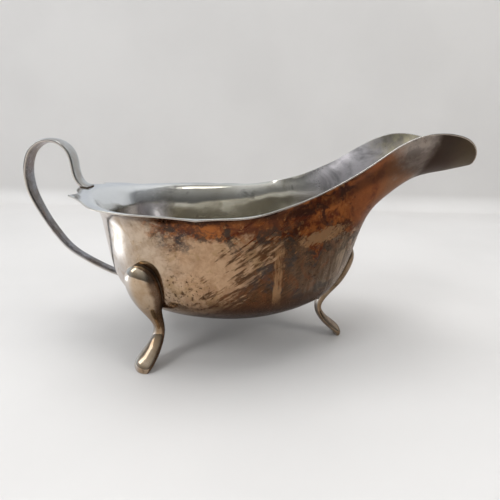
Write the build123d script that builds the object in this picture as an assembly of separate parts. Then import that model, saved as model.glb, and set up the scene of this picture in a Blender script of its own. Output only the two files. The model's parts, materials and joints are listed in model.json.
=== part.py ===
from build123d import *
import os
import numpy as np

os.makedirs("parts", exist_ok=True)

# ----- driving dimensions, mm -----
WALL = 0.9            # sheet thickness of the bowl
RIM_WALL = 0.6        # sheet thickness at the filed rim
SOLDER = 0.30         # thickness of the solder layer under each soldered piece
BEAD = 0.55           # how far the solder shows past the piece it holds
GAP = 0.02            # clearance between solder and sheet
X_MID = -2.65         # middle of the length in the drafting frame, moved to x = 0
HANDLE_W = 7.4        # strap handle, width
HANDLE_T = 1.9        # strap handle, thickness
HANDLE_TAPER = 0.36   # part of the width lost towards the lower end
N_U, N_V = 80, 44     # surface sampling of the half bowl

# rim of the half bowl: (station, x, y, z); stations 0 rear centre .. 10 front centre
RIM_HALF = [
    (0.0, -70.4, 0.0, 64.6), (0.35, -69.8, 6.0, 64.5), (0.7, -67.9, 11.3, 64.1), (1.0, -66.3, 15.4, 63.8),
    (1.25, -67.9, 18.9, 63.8), (1.5, -64.9, 21.9, 63.5), (1.85, -60.8, 26.3, 63.0), (2.25, -56.0, 31.6, 61.9),
    (2.7, -50.5, 36.0, 61.6), (3.2, -43.0, 39.9, 61.5), (3.75, -33.5, 42.9, 61.6), (4.25, -24.0, 45.0, 61.5),
    (4.625, -17.0, 46.3, 61.1), (4.9, -11.0, 45.6, 61.5), (5.3, -3.0, 43.8, 61.5), (5.7, 5.0, 41.4, 62.66),
    (6.05, 13.0, 37.6, 64.8), (6.4, 21.0, 33.2, 67.34), (6.8, 29.0, 29.5, 70.7), (7.15, 37.0, 26.8, 74.8),
    (7.5, 45.0, 24.3, 79.7), (7.85, 52.0, 22.4, 84.2), (8.15, 59.0, 21.6, 87.5), (8.45, 66.5, 21.6, 88.7),
    (8.75, 73.5, 20.6, 88.0), (9.05, 79.3, 17.6, 86.0), (9.35, 83.6, 13.2, 83.0), (9.65, 86.4, 7.9, 79.7),
    (9.85, 87.5, 3.6, 77.6), (10.0, 87.7, 0.0, 76.9),
]
CUSPS = (1.25, 4.625)  # stations where the rim comes to a point

# rings of the half bowl from the flat base upwards, columns at stations 0..10
RINGS = [
    [(-33.5, 0, 16.0), (-32.4, 6.6, 16.0), (-28.6, 12, 16.0), (-22.6, 15.6, 16.0), (-15.2, 17.6, 16.0), (-7.0, 18.2, 16.0),
     (1.6, 16.6, 16.0), (10, 12.4, 16.0), (15, 8.4, 16.0), (17.6, 4.3, 16.0), (18.4, 0, 16.0)],
    [(-42.0, 0, 18.2), (-40.6, 8.8, 18.2), (-35.4, 16.2, 18.2), (-27.8, 21.4, 18.2), (-18.6, 24.3, 18.2), (-8, 25.2, 18.2),
     (4.0, 23, 18.2), (15.0, 16.9, 18.2), (20.9, 11.4, 18.2), (23.9, 5.8, 18.2), (24.8, 0, 18.2)],
    [(-49.2, 0, 22.6), (-47.7, 10.7, 22.6), (-41.8, 19.9, 22.6), (-33.2, 26.6, 22.6), (-21.8, 30.4, 22.6), (-8.5, 31.8, 22.6),
     (7.2, 28.9, 22.6), (20.8, 21.2, 22.6), (27.6, 14.2, 22.6), (31.2, 7.2, 22.6), (32.2, 0, 22.6)],
    [(-52.8, 0, 25.8), (-51.2, 11.2, 25.8), (-45.1, 21.4, 25.8), (-35.9, 28.8, 25.8), (-23.5, 33.4, 25.8), (-8.8, 35, 25.8),
     (8.4, 31.9, 25.8), (23.6, 23.4, 25.8), (30.8, 15.8, 25.8), (34.7, 8.0, 25.8), (35.8, 0, 25.8)],
    [(-56.3, 0, 32), (-54.8, 11.7, 32), (-48.2, 22.9, 32), (-38.6, 31.2, 32), (-25.3, 36.3, 32), (-9.1, 38.2, 32),
     (9.6, 34.8, 32), (26.7, 25.6, 32), (34.5, 17.0, 32), (38.4, 8.5, 32), (39.5, 0, 32)],
    [(-58.5, 0, 42.5), (-57, 12, 42.5), (-50.4, 23.6, 42.5), (-40.6, 32.3, 42.5), (-26.6, 37.6, 42.5), (-9.3, 39.6, 42.5),
     (10.3, 36.3, 42.5), (29.4, 27.1, 42.5), (38.0, 18.2, 42.5), (42.0, 9.1, 42.5), (43.0, 0, 42.5)],
    [(-59.6, 0, 50.5), (-58.2, 12.2, 50.5), (-51.5, 24, 50.4), (-41.5, 32.8, 50.3), (-27.1, 38.2, 50.2), (-9.5, 40.2, 50.2),
     (10.5, 36.7, 51), (30.5, 27.4, 52), (41, 18.6, 54), (46.2, 9.2, 56), (48.3, 0, 56.5)],
    [(-60.6, 0, 56), (-59.1, 12.5, 55.9), (-52.2, 24.5, 55.6), (-42, 33.4, 55.1), (-27.4, 38.8, 54.8), (-9.6, 40.6, 54.8),
     (10.7, 36.7, 56), (31, 27, 58.5), (43.5, 18.6, 62), (51.9, 9.6, 64.2), (54.8, 0, 64.8)],
    [(-62.6, 0, 60.9), (-60.8, 13.3, 60.6), (-53.5, 25.8, 59.8), (-43, 34.8, 58.8), (-27.9, 40, 58.3), (-9.6, 41.5, 58.3),
     (10.9, 37, 60), (31.8, 27, 64), (47, 18.7, 70), (60, 11.2, 71.6), (64.3, 0, 71.3)],
    [(-65.2, 0, 63.6), (-62.7, 14.4, 62.8), (-56.3, 27, 61.9), (-44.5, 36.8, 61.1), (-28.3, 42.2, 60.8), (-9.4, 43.3, 60.8),
     (11.2, 37.6, 62.7), (32.7, 27.3, 68.7), (51, 19.8, 78.2), (68.8, 13.8, 78.9), (76.4, 0, 74.4)],
]

# centre line of the handle in the y = 0 plane: (x, z), from the flange to the wall
HANDLE_LINE = [
    (-67.0, 64.9), (-68.9, 65.4), (-70.6, 66.8), (-71.8, 69.1), (-72.4, 72.2), (-72.7, 75.6),
    (-73.8, 79.2), (-76.7, 82.1), (-80.8, 83.3), (-84.9, 82.6), (-88.2, 80.2), (-90.4, 76.8),
    (-91.8, 72.1), (-92.0, 67.6), (-91.2, 62.6), (-89.0, 56.6), (-85.6, 49.6), (-81.2, 42.8),
    (-76.0, 37.3), (-68.7, 32.6), (-61.3, 28.8), (-57.0, 27.1), (-53.0, 25.9), (-49.5, 25.3),
]

# leg casting: height, centre offset from the foot, half thickness, half width
LEG_Z = [42.6, 41.2, 38.0, 33.5, 28.6, 24.2, 19.6, 15.6, 12.2, 9.0, 6.2, 3.6, 1.6, 0.0]
LEG_R = [1.52, 1.46, 0.83, -0.84, -2.62, -4.64, -7.04, -8.73, -8.89, -7.28, -4.67, -1.51, 0.28, 0.42]
LEG_T = [1.16, 2.71, 4.14, 4.47, 3.92, 3.11, 2.22, 1.73, 1.53, 1.54, 1.68, 1.74, 1.67, 1.5]
LEG_W = [1.72, 4.33, 6.46, 7.28, 6.6, 4.74, 3.17, 2.55, 2.61, 3.11, 3.79, 4.27, 3.88, 2.97]
# foot centre (x, y), splay angle from -y in degrees, lean along and towards the wall
LEG_SET = {
    "leg_front": ((40.17, 0.0), -90.0, 0.0, 0.0, False),
    "leg_rear_right": ((-39.76, -33.72), 29.4, 1.22, -0.76, False),
    "leg_rear_left": ((-39.76, -33.72), 29.4, 1.22, -0.76, True),
}

MIRROR = np.array([1.0, -1.0, 1.0])


# ----- splines -----
def closed_spline(points, at):
    """C2 closed cubic through points at 0, 1, 2 .. n."""
    points = np.asarray(points, float)
    n = len(points)
    system = np.zeros((n, n))
    for i in range(n):
        system[i, i] = 4
        system[i, (i + 1) % n] = 1
        system[i, (i - 1) % n] = 1
    tangent = np.linalg.solve(system, 3 * (np.roll(points, -1, 0) - np.roll(points, 1, 0)))
    at = np.mod(np.asarray(at, float), n)
    i = np.floor(at).astype(int) % n
    t = (at - np.floor(at))[:, None]
    j = (i + 1) % n
    return ((2 * t**3 - 3 * t**2 + 1) * points[i] + (t**3 - 2 * t**2 + t) * tangent[i]
            + (-2 * t**3 + 3 * t**2) * points[j] + (t**3 - t**2) * tangent[j])


def open_spline(values, knots, at):
    """C2 cubic with free ends through values at knots."""
    values = np.asarray(values, float)
    knots = np.asarray(knots, float)
    n = len(knots)
    shape = values.shape[1:]
    flat = values.reshape(n, -1)
    h = np.diff(knots)
    system = np.zeros((n, n))
    right = np.zeros_like(flat)
    system[0, :2] = 2, 1
    right[0] = 3 * (flat[1] - flat[0]) / h[0]
    system[-1, -2:] = 1, 2
    right[-1] = 3 * (flat[-1] - flat[-2]) / h[-1]
    for i in range(1, n - 1):
        system[i, i - 1 : i + 2] = h[i], 2 * (h[i - 1] + h[i]), h[i - 1]
        right[i] = 3 * (h[i] * (flat[i] - flat[i - 1]) / h[i - 1] + h[i - 1] * (flat[i + 1] - flat[i]) / h[i])
    tangent = np.linalg.solve(system, right)
    at = np.clip(np.asarray(at, float), knots[0], knots[-1])
    i = np.clip(np.searchsorted(knots, at, side="right") - 1, 0, n - 2)
    t = ((at - knots[i]) / h[i])[:, None]
    w = h[i][:, None]
    out = ((2 * t**3 - 3 * t**2 + 1) * flat[i] + (t**3 - 2 * t**2 + t) * w * tangent[i]
           + (-2 * t**3 + 3 * t**2) * flat[i + 1] + (t**3 - t**2) * w * tangent[i + 1])
    return out.reshape((len(at),) + shape)


# ----- bowl surface -----
def rim_points(u):
    u = np.asarray(u, float)
    out = np.zeros((len(u), 3))
    rows = list(RIM_HALF)
    rear = [(-r[0], r[1], -r[2], r[3]) for r in rows[1:4]][::-1]
    front = [(20 - r[0], r[1], -r[2], r[3]) for r in rows[-4:-1]][::-1]
    breaks = (0.0,) + CUSPS + (10.0,)
    for low, high in zip(breaks[:-1], breaks[1:]):
        part = [r for r in rows if low - 1e-9 <= r[0] <= high + 1e-9]
        if low == 0.0:
            part = rear + part
        if high == 10.0:
            part = part + front
        part = np.array(part)
        inside = (u >= low) & (u <= high)
        if inside.any():
            out[inside] = open_spline(part[:, 1:], part[:, 0], u[inside])
    return out


def half_grid(v):
    """Outer surface of the half bowl (y >= 0) and its outward normals."""
    u = np.linspace(-0.125, 10.125, N_U + 3)
    mirrored = (u < 0) | (u > 10)
    folded = np.where(u < 0, -u, np.where(u > 10, 20 - u, u))
    rings = []
    for ring in RINGS:
        ring = np.array(ring, float)
        rings.append(closed_spline(np.vstack([ring, (ring[1:-1] * [1, -1, 1])[::-1]]), folded))
    rings.append(rim_points(folded))
    rings = np.array(rings)
    rings[:, mirrored, 1] *= -1
    surface = open_spline(rings, np.arange(len(rings)), v)
    along_u = np.gradient(surface, axis=1)
    along_v = np.gradient(surface, axis=0)
    normal = np.cross(along_v, along_u)
    normal /= np.linalg.norm(normal, axis=-1, keepdims=True)
    surface, normal = surface[:, 1:-1].copy(), normal[:, 1:-1].copy()
    for k in (0, -1):
        surface[:, k, 1] = 0
        normal[:, k, 1] = 0
    normal /= np.linalg.norm(normal, axis=-1, keepdims=True)
    surface[..., 0] -= X_MID
    return surface, normal


def wall_at(v):
    """Sheet thickness at ring v, thinning over the last rings to the rim."""
    t = np.clip((np.asarray(v, float) - (len(RINGS) - 1.8)) / 1.8, 0, 1)
    return (WALL - (WALL - RIM_WALL) * t * t * (3 - 2 * t))[:, None, None]


def face_from(grid):
    return Face.make_surface_from_array_of_points(
        [[Vector(*p) for p in row] for row in grid.tolist()], tol=0.01)


def edge_from(face, start, end):
    """The boundary edge of face that runs between two corner points."""
    start, end = Vector(*start), Vector(*end)
    def miss(edge):
        a, b = edge.position_at(0), edge.position_at(1)
        return min((a - start).length + (b - end).length, (a - end).length + (b - start).length)
    return min(face.edges(), key=miss)


def solid_from(faces):
    shell = Shell(faces)
    solid = Solid(shell)
    return solid if solid.volume > 0 else Solid(Shell([-f for f in faces]))


print("bowl surface")
def shell_between(outer, inner):
    """Closed solid between two half grids, with their mirror images, ruled at
    the rim and flat across the bottom."""
    faces = []
    halves = []
    for grid in (outer, inner):
        pair = [face_from(grid), face_from(grid * MIRROR)]
        halves.append(pair)
        faces += pair
        faces.append(Face(Wire([edge_from(f, grid[0, 0], grid[0, -1]) for f in pair])))
    for side in (0, 1):
        faces.append(Face.make_surface_from_curves(
            edge_from(halves[0][side], outer[-1, 0], outer[-1, -1]),
            edge_from(halves[1][side], inner[-1, 0], inner[-1, -1])))
    return solid_from(faces)


def filled(grid):
    """Solid enclosed by a half grid and its mirror image, flat at both ends."""
    pair = [face_from(grid), face_from(grid * MIRROR)]
    faces = list(pair)
    for k in (0, -1):
        faces.append(Face(Wire([edge_from(f, grid[k, 0], grid[k, -1]) for f in pair])))
    return solid_from(faces)


def biggest(shape):
    return max(shape.solids(), key=lambda s: s.volume)


v_all = np.linspace(0, len(RINGS), N_V + 1)
outer, normal = half_grid(v_all)
inner = outer - wall_at(v_all) * normal
inner[0, :, 2] = outer[0, :, 2] + WALL
bowl = shell_between(outer, inner)
print("bowl", bowl.is_valid, round(bowl.volume), bowl.bounding_box())


# ----- solid cores of the lower body, used to trim the soldered pieces -----
def core(offset):
    """Lower body up to z = 50, grown outwards by offset."""
    fine = np.linspace(0, len(RINGS) - 2, 121)
    surface, n = half_grid(fine)
    surface = surface + offset * n
    levels = 16.0 - offset + (50.0 - 16.0 + offset) * np.linspace(0, 1, 31) ** 1.6
    out = np.zeros((len(levels), surface.shape[1], 3))
    for j in range(surface.shape[1]):
        column = surface[:, j].copy()
        column[0, 2] = 16.0 - offset
        keep = np.concatenate([[True], np.diff(np.maximum.accumulate(column[:, 2])) > 1e-6])
        column = column[keep]
        for axis in (0, 1):
            out[:, j, axis] = np.interp(levels, column[:, 2], column[:, axis])
        out[:, j, 2] = levels
    out[:, 0, 1] = 0
    out[:, -1, 1] = 0
    return filled(out)


core_out = core(SOLDER)
core_skin = core(GAP)
print("cores", core_out.is_valid, round(core_out.volume), core_skin.is_valid, round(core_skin.volume))


# ----- legs -----
def leg_rings(place, grow=0.0, sides=24):
    (fx, fy), splay, lean, inset, flip = place
    z = np.array(LEG_Z)
    table = np.stack([np.array(LEG_R) + inset * np.clip(z / 38, 0, 1), z,
                      np.array(LEG_T) + grow, np.array(LEG_W) + grow], 1)
    q = open_spline(table, np.arange(len(z)), np.linspace(0, len(z) - 1, 27))
    along = np.gradient(q[:, :2], axis=0)
    along /= np.linalg.norm(along, axis=1, keepdims=True)
    across = np.stack([-along[:, 1], along[:, 0]], 1)
    blend = np.clip((q[:, 1] - 0.3) / 3.0, 0, 1)[:, None]
    blend = blend * blend * (3 - 2 * blend)
    across = across * blend + np.array([1.0, 0.0]) * (1 - blend) * np.sign(across[-8:, :1]).mean()
    across /= np.linalg.norm(across, axis=1, keepdims=True)
    a = np.linspace(0, 2 * np.pi, sides + 1)[:-1]
    r = q[:, None, 0] + across[:, None, 0] * np.cos(a) * q[:, None, 2]
    height = q[:, None, 1] + across[:, None, 1] * np.cos(a) * q[:, None, 2]
    side = np.sin(a) * q[:, None, 3] + lean * height / 38
    splay = np.radians(splay)
    d = np.array([-np.sin(splay), -np.cos(splay)])
    t = np.array([-d[1], d[0]])
    out = np.stack([fx + r * d[0] + side * t[0] - X_MID, fy + r * d[1] + side * t[1], height], -1)
    out[-1, :, 2] = 0.0
    if flip:
        out[..., 1] *= -1
    return out


def ring_loft(rings):
    wires = [Wire([Spline([Vector(*p) for p in ring.tolist()], periodic=True)]) for ring in rings]
    return Solid.make_loft(wires)


legs, leg_films = {}, {}
for name, place in LEG_SET.items():
    casting = ring_loft(leg_rings(place))
    grown = ring_loft(leg_rings(place, BEAD)[:-6])
    legs[name] = biggest(casting - core_out)
    leg_films[name.replace("leg", "solder_leg")] = (grown & core_out) - core_skin
    print(name, legs[name].is_valid, round(legs[name].volume), [round(s.volume, 1) for s in leg_films[name.replace("leg", "solder_leg")].solids()])


# ----- handle -----
def strap_half(width, thick, count=64, columns=17, last=1.0):
    """Half (y >= 0) of the strap's skin, from its upper end to last, a part of its length."""
    line = np.array(HANDLE_LINE)
    s = np.linspace(0, last, count)
    knots, at = np.arange(len(line)), s * (len(line) - 1)
    p = open_spline(line, knots, at)
    along = open_spline(line, knots, at + 1e-3) - open_spline(line, knots, at - 1e-3)
    along /= np.linalg.norm(along, axis=1, keepdims=True)
    across = np.stack([-along[:, 1], along[:, 0]], 1)
    a = np.linspace(-np.pi / 2, np.pi / 2, columns)
    wide = np.abs(np.cos(a)) ** 0.75 * width / 2
    wide[[0, -1]] = 0
    deep = np.sign(np.sin(a)) * np.abs(np.sin(a)) ** 0.75 * thick / 2
    slim = np.clip((s - 0.50) / 0.35, 0, 1)
    slim = 1 - HANDLE_TAPER * slim * slim * (3 - 2 * slim)
    out = np.zeros((count, columns, 3))
    out[..., 0] = p[:, None, 0] + across[:, None, 0] * deep - X_MID
    out[..., 1] = wide * slim[:, None]
    out[..., 2] = p[:, None, 1] + across[:, None, 1] * deep
    return out


def slab(low, high):
    """Closed solid between two open grids of the same size."""
    a, b = face_from(low), face_from(high)
    faces = [a, b]
    for i, j, k, l in ((0, 0, 0, -1), (-1, 0, -1, -1), (0, 0, -1, 0), (0, -1, -1, -1)):
        faces.append(Face.make_surface_from_curves(
            edge_from(a, low[i, j], low[k, l]), edge_from(b, high[i, j], high[k, l])))
    return solid_from(faces)


def both_sides(half):
    return np.concatenate([(half[:, 1:] * [1, -1, 1])[:, ::-1], half], 1)


flange_v = np.linspace(len(RINGS) - 2.2, len(RINGS), 13)
flange, flange_n = half_grid(flange_v)
sheet = wall_at(flange_v)
over = both_sides((flange - (sheet + SOLDER) * flange_n)[:, :8])
seat = slab(both_sides((flange - (sheet + GAP) * flange_n)[:, :8]), over)
seat_cut = slab(both_sides((flange + 1.5 * flange_n)[:, :8]), over)
print("seat", seat.is_valid, round(seat.volume, 1), seat_cut.is_valid, round(seat_cut.volume, 1))

strap = filled(strap_half(HANDLE_W, HANDLE_T))
strap_grown = filled(strap_half(HANDLE_W + 2 * BEAD, HANDLE_T + 2 * BEAD))
strap_end = filled(strap_half(HANDLE_W + 2 * BEAD, HANDLE_T + 2 * BEAD, 24, last=0.25))
handle = biggest(biggest(strap - seat_cut) - core_out)
film_low = (strap_grown & core_out) - core_skin
film_high = strap_end & seat
print("handle", handle.is_valid, round(handle.volume), [round(s.volume, 1) for s in film_low.solids()],
      [round(s.volume, 1) for s in film_high.solids()])

parts = {"bowl": bowl, "handle": handle, "solder_handle_upper": biggest(film_high),
         "solder_handle_lower": biggest(film_low)}
parts.update(legs)
for name, film in leg_films.items():
    parts[name] = biggest(film)
low = min(p.bounding_box().min.X for p in parts.values())
high = max(p.bounding_box().max.X for p in parts.values())
print("x", round(low, 3), round(high, 3), "middle", round((low + high) / 2, 3))
for name, solid in parts.items():
    solid.label = name
    export_step(solid, f"parts/{name}.step")
    print(name, solid.is_valid, round(solid.volume, 1))
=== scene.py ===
import json
import math

import bpy
import numpy as np
from mathutils import Matrix, Vector
from mathutils.bvhtree import BVHTree
from mathutils.kdtree import KDTree

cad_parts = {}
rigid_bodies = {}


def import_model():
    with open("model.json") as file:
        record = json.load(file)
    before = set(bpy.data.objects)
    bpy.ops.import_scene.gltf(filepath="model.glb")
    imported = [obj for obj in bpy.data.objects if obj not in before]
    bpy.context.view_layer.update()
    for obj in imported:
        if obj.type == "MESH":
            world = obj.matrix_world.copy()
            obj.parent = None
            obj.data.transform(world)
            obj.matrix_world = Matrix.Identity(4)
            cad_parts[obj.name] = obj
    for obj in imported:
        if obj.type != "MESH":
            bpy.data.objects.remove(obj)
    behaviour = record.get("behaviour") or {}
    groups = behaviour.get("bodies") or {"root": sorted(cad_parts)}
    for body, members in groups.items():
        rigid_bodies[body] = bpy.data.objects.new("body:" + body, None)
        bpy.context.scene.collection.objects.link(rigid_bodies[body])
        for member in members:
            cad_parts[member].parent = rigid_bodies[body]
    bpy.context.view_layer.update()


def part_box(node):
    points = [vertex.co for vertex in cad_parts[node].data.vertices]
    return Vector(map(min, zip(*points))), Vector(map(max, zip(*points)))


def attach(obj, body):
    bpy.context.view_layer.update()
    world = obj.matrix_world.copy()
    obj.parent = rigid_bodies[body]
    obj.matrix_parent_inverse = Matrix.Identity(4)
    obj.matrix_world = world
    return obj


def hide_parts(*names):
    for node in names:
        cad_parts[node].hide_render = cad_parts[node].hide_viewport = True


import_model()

MM = 0.001

# ---------------------------------------------------------------- drafting data, mm
WALL = 0.9
RIM_WALL = 0.6
HANDLE_W = 7.4
HANDLE_T = 1.9
HANDLE_TAPER = 0.36

# rim of the half bowl: (station, x, y, z); stations 0 rear centre .. 10 front centre
RIM_HALF = [
    (0.0, -70.4, 0.0, 64.6), (0.35, -69.8, 6.0, 64.5), (0.7, -67.9, 11.3, 64.1), (1.0, -66.3, 15.4, 63.8),
    (1.25, -67.9, 18.9, 63.8), (1.5, -64.9, 21.9, 63.5), (1.85, -60.8, 26.3, 63.0), (2.25, -56.0, 31.6, 61.9),
    (2.7, -50.5, 36.0, 61.6), (3.2, -43.0, 39.9, 61.5), (3.75, -33.5, 42.9, 61.6), (4.25, -24.0, 45.0, 61.5),
    (4.625, -17.0, 46.3, 61.1), (4.9, -11.0, 45.6, 61.5), (5.3, -3.0, 43.8, 61.5), (5.7, 5.0, 41.4, 62.66),
    (6.05, 13.0, 37.6, 64.8), (6.4, 21.0, 33.2, 67.34), (6.8, 29.0, 29.5, 70.7), (7.15, 37.0, 26.8, 74.8),
    (7.5, 45.0, 24.3, 79.7), (7.85, 52.0, 22.4, 84.2), (8.15, 59.0, 21.6, 87.5), (8.45, 66.5, 21.6, 88.7),
    (8.75, 73.5, 20.6, 88.0), (9.05, 79.3, 17.6, 86.0), (9.35, 83.6, 13.2, 83.0), (9.65, 86.4, 7.9, 79.7),
    (9.85, 87.5, 3.6, 77.6), (10.0, 87.7, 0.0, 76.9),
]
CUSPS = (1.25, 4.625)  # stations where the rim comes to a point

# rings of the half bowl from the flat base upwards, columns at stations 0..10
RINGS = [
    [(-33.5, 0, 16.0), (-32.4, 6.6, 16.0), (-28.6, 12, 16.0), (-22.6, 15.6, 16.0), (-15.2, 17.6, 16.0), (-7.0, 18.2, 16.0),
     (1.6, 16.6, 16.0), (10, 12.4, 16.0), (15, 8.4, 16.0), (17.6, 4.3, 16.0), (18.4, 0, 16.0)],
    [(-42.0, 0, 18.2), (-40.6, 8.8, 18.2), (-35.4, 16.2, 18.2), (-27.8, 21.4, 18.2), (-18.6, 24.3, 18.2), (-8, 25.2, 18.2),
     (4.0, 23, 18.2), (15.0, 16.9, 18.2), (20.9, 11.4, 18.2), (23.9, 5.8, 18.2), (24.8, 0, 18.2)],
    [(-49.2, 0, 22.6), (-47.7, 10.7, 22.6), (-41.8, 19.9, 22.6), (-33.2, 26.6, 22.6), (-21.8, 30.4, 22.6), (-8.5, 31.8, 22.6),
     (7.2, 28.9, 22.6), (20.8, 21.2, 22.6), (27.6, 14.2, 22.6), (31.2, 7.2, 22.6), (32.2, 0, 22.6)],
    [(-52.8, 0, 25.8), (-51.2, 11.2, 25.8), (-45.1, 21.4, 25.8), (-35.9, 28.8, 25.8), (-23.5, 33.4, 25.8), (-8.8, 35, 25.8),
     (8.4, 31.9, 25.8), (23.6, 23.4, 25.8), (30.8, 15.8, 25.8), (34.7, 8.0, 25.8), (35.8, 0, 25.8)],
    [(-56.3, 0, 32), (-54.8, 11.7, 32), (-48.2, 22.9, 32), (-38.6, 31.2, 32), (-25.3, 36.3, 32), (-9.1, 38.2, 32),
     (9.6, 34.8, 32), (26.7, 25.6, 32), (34.5, 17.0, 32), (38.4, 8.5, 32), (39.5, 0, 32)],
    [(-58.5, 0, 42.5), (-57, 12, 42.5), (-50.4, 23.6, 42.5), (-40.6, 32.3, 42.5), (-26.6, 37.6, 42.5), (-9.3, 39.6, 42.5),
     (10.3, 36.3, 42.5), (29.4, 27.1, 42.5), (38.0, 18.2, 42.5), (42.0, 9.1, 42.5), (43.0, 0, 42.5)],
    [(-59.6, 0, 50.5), (-58.2, 12.2, 50.5), (-51.5, 24, 50.4), (-41.5, 32.8, 50.3), (-27.1, 38.2, 50.2), (-9.5, 40.2, 50.2),
     (10.5, 36.7, 51), (30.5, 27.4, 52), (41, 18.6, 54), (46.2, 9.2, 56), (48.3, 0, 56.5)],
    [(-60.6, 0, 56), (-59.1, 12.5, 55.9), (-52.2, 24.5, 55.6), (-42, 33.4, 55.1), (-27.4, 38.8, 54.8), (-9.6, 40.6, 54.8),
     (10.7, 36.7, 56), (31, 27, 58.5), (43.5, 18.6, 62), (51.9, 9.6, 64.2), (54.8, 0, 64.8)],
    [(-62.6, 0, 60.9), (-60.8, 13.3, 60.6), (-53.5, 25.8, 59.8), (-43, 34.8, 58.8), (-27.9, 40, 58.3), (-9.6, 41.5, 58.3),
     (10.9, 37, 60), (31.8, 27, 64), (47, 18.7, 70), (60, 11.2, 71.6), (64.3, 0, 71.3)],
    [(-65.2, 0, 63.6), (-62.7, 14.4, 62.8), (-56.3, 27, 61.9), (-44.5, 36.8, 61.1), (-28.3, 42.2, 60.8), (-9.4, 43.3, 60.8),
     (11.2, 37.6, 62.7), (32.7, 27.3, 68.7), (51, 19.8, 78.2), (68.8, 13.8, 78.9), (76.4, 0, 74.4)],
]

# centre line of the handle in the y = 0 plane: (x, z), from the flange to the wall
HANDLE_LINE = [
    (-67.0, 64.9), (-68.9, 65.4), (-70.6, 66.8), (-71.8, 69.1), (-72.4, 72.2), (-72.7, 75.6),
    (-73.8, 79.2), (-76.7, 82.1), (-80.8, 83.3), (-84.9, 82.6), (-88.2, 80.2), (-90.4, 76.8),
    (-91.8, 72.1), (-92.0, 67.6), (-91.2, 62.6), (-89.0, 56.6), (-85.6, 49.6), (-81.2, 42.8),
    (-76.0, 37.3), (-68.7, 32.6), (-61.3, 28.8), (-57.0, 27.1), (-53.0, 25.9), (-49.5, 25.3),
]

# leg casting: height, centre offset from the foot, half thickness, half width
LEG_Z = [42.6, 41.2, 38.0, 33.5, 28.6, 24.2, 19.6, 15.6, 12.2, 9.0, 6.2, 3.6, 1.6, 0.0]
LEG_R = [1.52, 1.46, 0.83, -0.84, -2.62, -4.64, -7.04, -8.73, -8.89, -7.28, -4.67, -1.51, 0.28, 0.42]
LEG_T = [1.16, 2.71, 4.14, 4.47, 3.92, 3.11, 2.22, 1.73, 1.53, 1.54, 1.68, 1.74, 1.67, 1.5]
LEG_W = [1.72, 4.33, 6.46, 7.28, 6.6, 4.74, 3.17, 2.55, 2.61, 3.11, 3.79, 4.27, 3.88, 2.97]
# foot centre (x, y), splay angle from -y in degrees, lean along and towards the wall
LEG_SET = {
    "leg_front": ((40.17, 0.0), -90.0, 0.0, 0.0, False),
    "leg_rear_right": ((-39.76, -33.72), 29.4, 1.22, -0.76, False),
    "leg_rear_left": ((-39.76, -33.72), 29.4, 1.22, -0.76, True),
}

# ---------------------------------------------------------------- splines
def closed_spline(points, at):
    points = np.asarray(points, float)
    n = len(points)
    system = np.zeros((n, n))
    for i in range(n):
        system[i, i] = 4
        system[i, (i + 1) % n] = 1
        system[i, (i - 1) % n] = 1
    tangent = np.linalg.solve(system, 3 * (np.roll(points, -1, 0) - np.roll(points, 1, 0)))
    at = np.mod(np.asarray(at, float), n)
    i = np.floor(at).astype(int) % n
    t = (at - np.floor(at))[:, None]
    j = (i + 1) % n
    return ((2 * t**3 - 3 * t**2 + 1) * points[i] + (t**3 - 2 * t**2 + t) * tangent[i]
            + (-2 * t**3 + 3 * t**2) * points[j] + (t**3 - t**2) * tangent[j])


def open_spline(values, knots, at):
    values = np.asarray(values, float)
    knots = np.asarray(knots, float)
    n = len(knots)
    shape = values.shape[1:]
    flat = values.reshape(n, -1)
    h = np.diff(knots)
    system = np.zeros((n, n))
    right = np.zeros_like(flat)
    system[0, :2] = 2, 1
    right[0] = 3 * (flat[1] - flat[0]) / h[0]
    system[-1, -2:] = 1, 2
    right[-1] = 3 * (flat[-1] - flat[-2]) / h[-1]
    for i in range(1, n - 1):
        system[i, i - 1 : i + 2] = h[i], 2 * (h[i - 1] + h[i]), h[i - 1]
        right[i] = 3 * (h[i] * (flat[i] - flat[i - 1]) / h[i - 1] + h[i - 1] * (flat[i + 1] - flat[i]) / h[i])
    tangent = np.linalg.solve(system, right)
    at = np.clip(np.asarray(at, float), knots[0], knots[-1])
    i = np.clip(np.searchsorted(knots, at, side="right") - 1, 0, n - 2)
    t = ((at - knots[i]) / h[i])[:, None]
    w = h[i][:, None]
    out = ((2 * t**3 - 3 * t**2 + 1) * flat[i] + (t**3 - 2 * t**2 + t) * w * tangent[i]
           + (-2 * t**3 + 3 * t**2) * flat[i + 1] + (t**3 - t**2) * w * tangent[i + 1])
    return out.reshape((len(at),) + shape)


def smooth01(x):
    x = np.clip(x, 0, 1)
    return x * x * (3 - 2 * x)


# ---------------------------------------------------------------- bowl surface
def rim_points(u):
    out = np.zeros((len(u), 3))
    rows = list(RIM_HALF)
    rear = [(-r[0], r[1], -r[2], r[3]) for r in rows[1:4]][::-1]
    front = [(20 - r[0], r[1], -r[2], r[3]) for r in rows[-4:-1]][::-1]
    breaks = (0.0,) + CUSPS + (10.0,)
    for low, high in zip(breaks[:-1], breaks[1:]):
        part = [r for r in rows if low - 1e-9 <= r[0] <= high + 1e-9]
        if low == 0.0:
            part = rear + part
        if high == 10.0:
            part = part + front
        part = np.array(part)
        inside = (u >= low - 1e-9) & (u <= high + 1e-9)
        out[inside] = open_spline(part[:, 1:], part[:, 0], u[inside])
    return out


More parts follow.
